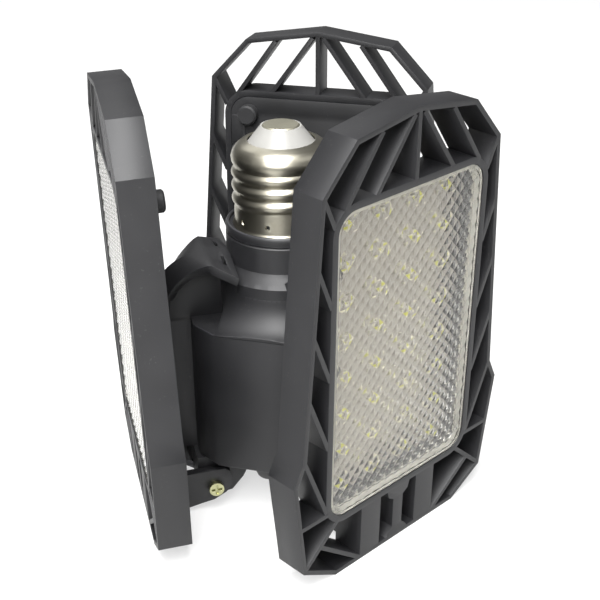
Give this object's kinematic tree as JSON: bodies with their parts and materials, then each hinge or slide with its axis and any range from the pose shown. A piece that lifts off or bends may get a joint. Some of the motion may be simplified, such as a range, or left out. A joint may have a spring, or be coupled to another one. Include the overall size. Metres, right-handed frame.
{
  "type": "folding garage lamp",
  "caption": "Screw-base garage lamp with ribbed lamp panels that fold up round the driver body and swing out on friction hinges.",
  "frame": {"origin": "centre of the flat top of the screw base's centre contact", "axes": "+Z along the lamp's axis, out of the centre contact towards the lamp holder; -Y is the outward direction of panel 1, and panels 2 and 3 follow at 120 and 240 degrees, anticlockwise seen from +Z"},
  "size_m": [0.117, 0.104, 0.1237],
  "materials": {
    "contact_metal": "tinned, slightly domed at its edge",
    "base_insulator": "milky white, glossy",
    "shell_nickel": "nickel plated, rolled thread",
    "body_plastic": "charcoal, fine moulded satin",
    "screw_steel": "plain zinc",
    "circuit_board": "green solder mask",
    "dark_parts": "black moulded and wound parts",
    "capacitor_sleeve": "dark blue sleeve",
    "red_lead": "insulated lead",
    "black_lead": "insulated lead",
    "gray_lead": "two-core sheathed lead",
    "bush_brass": "turned",
    "lens_clear": "clear moulded prisms",
    "gasket_white": "white silicone",
    "lamp_board": "white solder mask on aluminium",
    "lamp_chip": "white case with a yellow phosphor window",
    "rear_plate_metal": "black coated aluminium",
    "black_screw": "black oxide",
    "bumper_rubber": "black rubber",
    "yellow_screw": "yellow zinc",
    "gland_rubber": "grey rubber"
  },
  "bodies": {
    "body": {"contact_tip": "contact_metal", "base_insulator": "base_insulator", "screw_shell": "shell_nickel", "neck_ring": "body_plastic", "body_housing": "body_plastic", "bottom_cover": "body_plastic", "cover_screws": "screw_steel", "driver_board": "circuit_board", "board_screws": "screw_steel", "driver_transformer": "dark_parts", "driver_capacitors": "capacitor_sleeve", "driver_rectifier": "dark_parts", "tip_lead": "red_lead", "shell_lead": "black_lead", "driver_leads": "gray_lead", "hinge_bushes": "bush_brass"},
    "panel_1": {"panel_frame_1": "body_plastic", "lens_1": "lens_clear", "lens_gasket_1": "gasket_white", "led_board_1": "lamp_board", "led_chips_1": "lamp_chip", "rear_plate_1": "rear_plate_metal", "rear_screws_1": "black_screw", "bumpers_1": "bumper_rubber", "hinge_screws_1": "yellow_screw", "lead_gland_1": "gland_rubber", "panel_lead_1": "gray_lead"},
    "panel_2": {"panel_frame_2": "body_plastic", "lens_2": "lens_clear", "lens_gasket_2": "gasket_white", "led_board_2": "lamp_board", "led_chips_2": "lamp_chip", "rear_plate_2": "rear_plate_metal", "rear_screws_2": "black_screw", "bumpers_2": "bumper_rubber", "hinge_screws_2": "yellow_screw", "lead_gland_2": "gland_rubber", "panel_lead_2": "gray_lead"},
    "panel_3": {"panel_frame_3": "body_plastic", "lens_3": "lens_clear", "lens_gasket_3": "gasket_white", "led_board_3": "lamp_board", "led_chips_3": "lamp_chip", "rear_plate_3": "rear_plate_metal", "rear_screws_3": "black_screw", "bumpers_3": "bumper_rubber", "hinge_screws_3": "yellow_screw", "lead_gland_3": "gland_rubber", "panel_lead_3": "gray_lead"}
  },
  "joints": [
    {"name": "panel_1_hinge", "type": "hinge", "parent": "body", "child": "panel_1", "pos_m": [0, -0.0236, -0.1017], "axis": [1, 0, 0], "range_deg": [0, 88.3]},
    {"name": "panel_2_hinge", "type": "hinge", "parent": "body", "child": "panel_2", "pos_m": [0.02044, 0.0118, -0.1017], "axis": [-0.5, 0.866, 0], "range_deg": [0, 88.3]},
    {"name": "panel_3_hinge", "type": "hinge", "parent": "body", "child": "panel_3", "pos_m": [-0.02044, 0.0118, -0.1017], "axis": [-0.5, -0.866, 0], "range_deg": [0, 88.3]}
  ]
}
